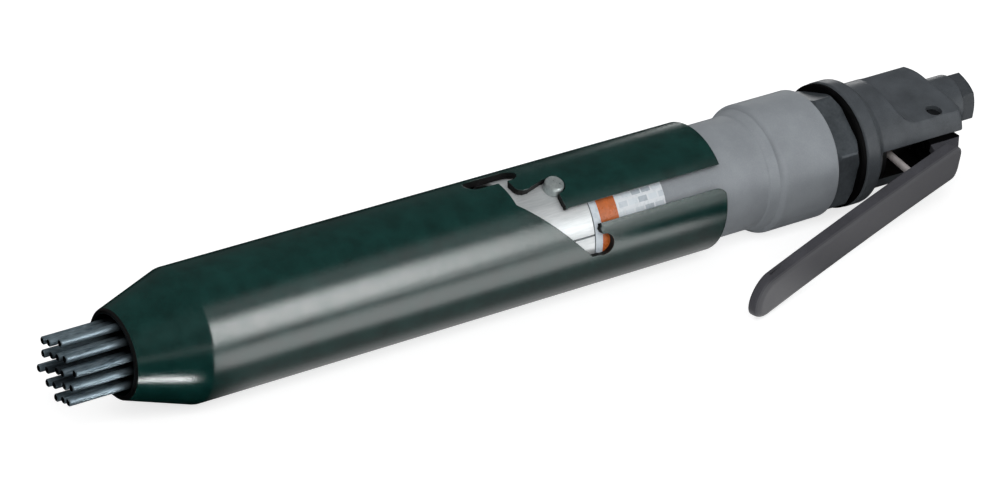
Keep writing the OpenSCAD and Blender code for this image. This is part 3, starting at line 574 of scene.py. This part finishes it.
label_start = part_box("latch_sleeve")[1].x + LABEL_GAP
label_angles = np.linspace(*LABEL_TURN, LABEL_STEPS)
label_edge = np.array([(0, 0), (0, LABEL_THICK), (LABEL_LENGTH, LABEL_THICK),
                       (LABEL_LENGTH, 0)])
label_points = on_tool(label_start + label_edge[None, :, 0], label_angles[:, None],
                       NECK_RADIUS + LABEL_GLUE + label_edge[None, :, 1])
label = piece("barrel_label", label_points, tube_faces(LABEL_STEPS, len(label_edge)),
              smooth=False)

# Printed vinyl: flat ink under a thin clear film, so it is a little glossier than the barrel
printed_vinyl = finish("printed_vinyl", "#c9d3dc", "#dfe6ec", metallic=0.0, roughness=0.3,
                       grain=1.2, depth=0.004, patch=3)
tree = printed_vinyl.node_tree
shader = tree.nodes["Principled BSDF"]
paper = shader.inputs["Base Color"].links[0].from_node
spot = add(tree, "TexCoord")
station = (split(tree), "X")
blocks = add(tree, "TexBrick", {"Vector": (spot, "Object"), "Scale": BLOCK_SCALE,
                                "Bias": BLOCK_BIAS, "Color1": linear("#e3ebf0"),
                                "Color2": linear("#5f7182"), "Mortar": linear("#eef2f5"),
                                "Mortar Size": BLOCK_BORDER, "Brick Width": BLOCK_LENGTH,
                                "Row Height": BLOCK_HEIGHT})
panel = add(tree, "Mix", {0: BLOCK_SHARE, MIX_FIRST: (paper, MIX_RESULT),
                          MIX_SECOND: blocks}, data_type="RGBA")
worn = add(tree, "TexNoise", {"Vector": (spot, "Object"), "Scale": WEAR_SCALE,
                              "Detail": WEAR_DETAIL})
ink = add(tree, "Mix", {0: worn, MIX_FIRST: linear("#dd7434"),
                        MIX_SECOND: linear("#ac5c30")}, data_type="RGBA")
in_orange = where(tree, (station, "LESS_THAN", label_start + LABEL_ORANGE))
banded = add(tree, "Mix", {0: in_orange, MIX_FIRST: (panel, MIX_RESULT),
                           MIX_SECOND: (ink, MIX_RESULT)}, data_type="RGBA")
in_margin = where(tree, (station, "LESS_THAN", label_start + LABEL_MARGIN))
printed = add(tree, "Mix", {0: in_margin, MIX_FIRST: (banded, MIX_RESULT),
                            MIX_SECOND: (paper, MIX_RESULT)}, data_type="RGBA")
give(tree, shader, {"Base Color": (printed, MIX_RESULT)})
label.data.materials.append(printed_vinyl)
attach(label, "tool_body")


# Lock ring
# Forged steel ring with six flats for a wrench, screwed up behind the barrel. It locks the
# throttle body to the barrel.

# Black oxide: thin and dark grey, polished on the flats so that they mirror a little
black_oxide = finish("black_oxide", "#474c50", "#5c6267", metallic=0.35, roughness=0.33,
                     grain=1.2, depth=0.001, patch=9, edge=0.5, spread=0.03)
dress(black_oxide, "lock_ring")


# Throttle body
# Forged aluminium with a round flange, machined side flats and a channel in which the
# lever swings, drawn near black inside as painted shade.
# Near-black painted shade, deep in the channel and on the lever's ears
CHANNEL_PAINTED_SHADE = "#050506"
CHANNEL_HALF = 0.0066
CHANNEL_ROOF = 0.009
OPEN_SIDE = 1.0
FLANGE_LENGTH = 0.009

toward_lever = np.array((0, -cos(lean), -sin(lean)))
across = np.array((0, sin(lean), -cos(lean)))


def along_way(tree, way):
    """How far a point lies from the tool's axis along a direction, as a product of both."""
    moved = add(tree, "VectorMath", {0: (add(tree, "TexCoord"), "Object"),
                                     1: (0, axis_y, axis_z)}, operation="SUBTRACT")
    return add(tree, "VectorMath", {0: moved, 1: tuple(way)},
               operation="DOT_PRODUCT"), "Value"


def in_channel(tree, nearest, farthest, start):
    """1 between the channel's walls, in a range of depth from the tool's axis towards the
    lever, behind a station along the tool."""
    aside = add(tree, "Math", {0: along_way(tree, across)}, operation="ABSOLUTE")
    depth = along_way(tree, toward_lever)
    return where(tree, (aside, "LESS_THAN", CHANNEL_HALF), (depth, "LESS_THAN", farthest),
                 (depth, "GREATER_THAN", nearest),
                 ((split(tree), "X"), "GREATER_THAN", start))


# Dark anodising over blasted aluminium: a fine satin grey without a clear highlight
body_anodising = finish("dark_anodising", "#464a4e", "#5a5f64", metallic=0.1,
                        roughness=0.36, grain=0.4, depth=0.012, patch=12, edge=0.5)
channel_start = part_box("throttle_body")[0].x + FLANGE_LENGTH
# Painted shade deep in the channel
painted_channel_shade = in_channel(body_anodising.node_tree, nearest=CHANNEL_ROOF, farthest=OPEN_SIDE,
                  start=channel_start)
shade(body_anodising, painted_channel_shade, CHANNEL_PAINTED_SHADE, dull=0.4)
dress(body_anodising, "throttle_body")


# Throttle lever and its pin
# Pressed steel sheet with turned-down sides and ears, which swings on a steel pin through
# the body's flats.
EAR_DEPTH = 0.0235
# Painted light on the lever's outer face, and how squarely a face must look outwards to take
# it
OUTER_PAINTED_LIGHT = "#5d5d60"
OUTER_LIGHT_FACING = (0.65, 0.9)

# Satin coating: dark grey that hardly mirrors, with painted light on the outer face
lever_coating = finish("satin_coating", "#3f3f43", "#4c4c51", metallic=0.0, roughness=0.45,
                       grain=0.5, depth=0.01, patch=18, edge=0.7, Specular_IOR_Level=0.06)
tree = lever_coating.node_tree
outward = add(tree, "VectorMath", {0: (add(tree, "TexCoord"), "Normal"),
                                   1: tuple(toward_lever)}, operation="DOT_PRODUCT")
painted_outer_light = add(tree, "MapRange", {"Value": (outward, "Value"), "From Min": OUTER_LIGHT_FACING[0],
                                "From Max": OUTER_LIGHT_FACING[1]})
shade(lever_coating, painted_outer_light, OUTER_PAINTED_LIGHT, dull=0.0)
# Painted shade on the ears, where they stand in the channel
ears = in_channel(tree, nearest=0.0, farthest=EAR_DEPTH, start=0.0)
shade(lever_coating, ears, CHANNEL_PAINTED_SHADE, dull=0.4)
dress(lever_coating, "throttle_lever")
# Blacked steel: an almost black metal with a small dull shine
pin_steel = finish("blacked_pin_steel", "#141618", "#2c2f32", metallic=0.6, roughness=0.4,
                   grain=0.3, depth=0.004, patch=3)
dress(pin_steel, "lever_pin")


# Throttle valve
# A ground plunger that the lever presses, and its valve, held on a bronze seat by a small
# stainless spring with closed ends.
VALVE_WIRE = 0.0007
VALVE_TURNS = 5

# Ground stainless steel: bright, faintly warm metal
plunger_steel = finish("ground_plunger_steel", "#d2cccb", "#f0e8e6", metallic=0.45,
                       roughness=0.36, grain=0.3, depth=0.003, patch=3)
dress(plunger_steel, "valve_plunger", "throttle_valve")

spring_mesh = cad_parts["valve_spring"].data
corners = np.zeros(len(spring_mesh.vertices) * 3)
spring_mesh.vertices.foreach_get("co", corners)
corners = corners.reshape(-1, 3)
depths = (corners - (0, axis_y, axis_z)) @ toward_lever
spring_front, spring_rear = corners[:, 0].min(), corners[:, 0].max()
spring_ends = [np.array(((spring_front + spring_rear) / 2, axis_y, axis_z))
               + depth * toward_lever for depth in (depths.min(), depths.max())]
valve_coil = coil("valve_coil", *spring_ends, (spring_rear - spring_front) / 2, VALVE_WIRE,
                  VALVE_TURNS, CLOSED_TURNS)
valve_coil.data.materials.append(plunger_steel)
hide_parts("valve_spring")
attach(valve_coil, "tool_body")
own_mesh(valve_coil)


# Air inlet
# Hexagon bushing with a pipe thread in its bore, a rubber seal and a punched brass screen.
# The thread's crest shrinks to nothing at both ends, as the cutter leaves it.
THREAD_PITCH = 0.00141
THREAD_DEPTH = 0.0005
THREAD_LENGTH = 0.0135
THREAD_RADIUS = 0.00555
THREAD_INSET = 0.001
THREAD_HALF = 0.42
THREAD_SUNK = 0.4
THREAD_STEPS = 48
THREAD_LEAST = 0.02

# Blackened steel: dark grey with a soft shine on its flats
blackened_steel = finish("blackened_steel", "#3e4246", "#52565a", metallic=0.2,
                         roughness=0.36, grain=0.5, depth=0.012, patch=8, edge=0.35)
dress(blackened_steel, "inlet_bushing")
# Punched brass sheet: yellow metal with small uneven spots
screen_brass = finish("punched_brass", "#9a7a36", "#c4a254", metallic=1.0, roughness=0.34,
                      grain=0.4, depth=0.01, patch=4)
dress(screen_brass, "inlet_screen")


def thread(name, start, centre, length, radius, pitch, depth):
    """A thread's crest inside a bore: a low triangle carried along a helix round the bore's
    own axis, shrinking to nothing in its first and last half turn."""
    turns = length / pitch
    turn = np.linspace(0, turns, int(turns * THREAD_STEPS) + 1)[:, None]
    fade = np.clip(np.minimum(turn, turns - turn) * 2, THREAD_LEAST, 1)
    outline = np.array([(0, THREAD_SUNK), (THREAD_HALF, 0), (0, -1), (-THREAD_HALF, 0)])
    along = start + pitch * (turn + outline[:, 0] * fade)
    reach = radius + depth * outline[:, 1] * fade
    points = np.stack([along, centre.y - reach * np.cos(2 * pi * turn),
                       centre.z + reach * np.sin(2 * pi * turn)], -1)
    return piece(name, points, tube_faces(len(turn), len(outline)), smooth=False)


inlet_low, inlet_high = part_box("inlet_bushing")
inlet_thread = thread("inlet_thread", inlet_high.x - THREAD_LENGTH - THREAD_INSET,
                      (inlet_low + inlet_high) / 2, THREAD_LENGTH, THREAD_RADIUS,
                      THREAD_PITCH, THREAD_DEPTH)
inlet_thread.data.materials.append(blackened_steel)
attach(inlet_thread, "tool_body")
